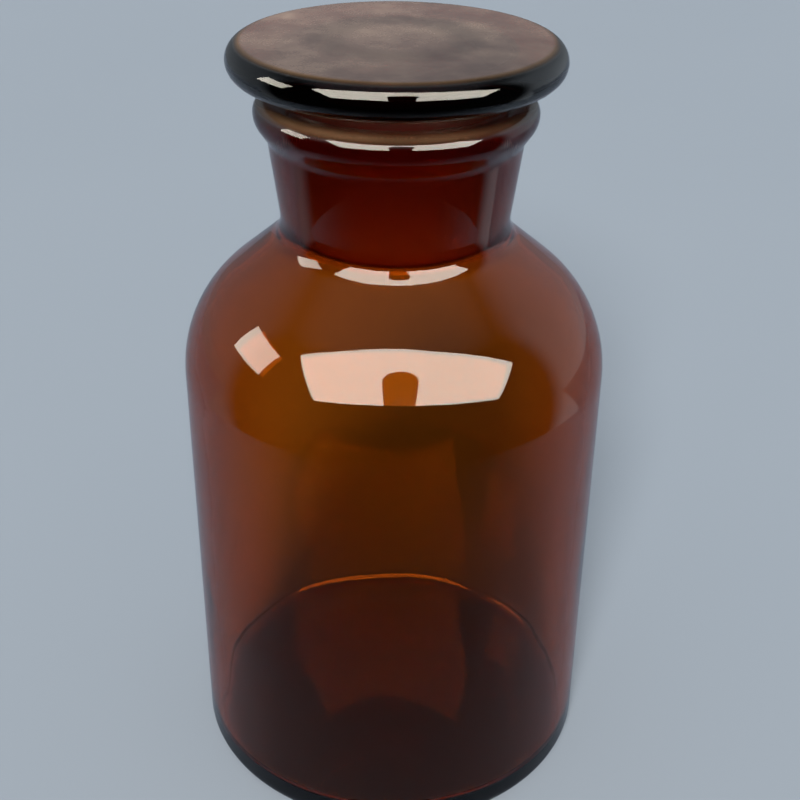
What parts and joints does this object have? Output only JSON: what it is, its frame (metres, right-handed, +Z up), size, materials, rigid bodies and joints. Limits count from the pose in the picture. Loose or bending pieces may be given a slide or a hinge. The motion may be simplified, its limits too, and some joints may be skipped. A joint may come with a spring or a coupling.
{
  "type": "reagent bottle",
  "caption": "Wide-mouth amber glass reagent bottle: straight round body, round shoulder, flared neck with a thick rounded lip, and a flat-head ground-glass stopper that lifts out.",
  "frame": {"origin": "centre of the flat ring that the bottle stands on", "axes": "+Z up along the bottle's axis, towards the stopper; the bottle is round, so X and Y are free"},
  "size_m": [0.107, 0.107, 0.1968],
  "materials": {
    "bottle_glass": "glossy clear amber, ground matt in the neck joint",
    "stopper_glass": "amber, glossy edge, dusty satin top, ground matt plug"
  },
  "bodies": {
    "bottle": {"bottle": "bottle_glass"},
    "stopper": {"stopper": "stopper_glass"}
  },
  "joints": [
    {"name": "stopper_lift", "type": "slide", "parent": "bottle", "child": "stopper", "axis": [0, 0, 1], "range_m": [0, 0.1]}
  ]
}
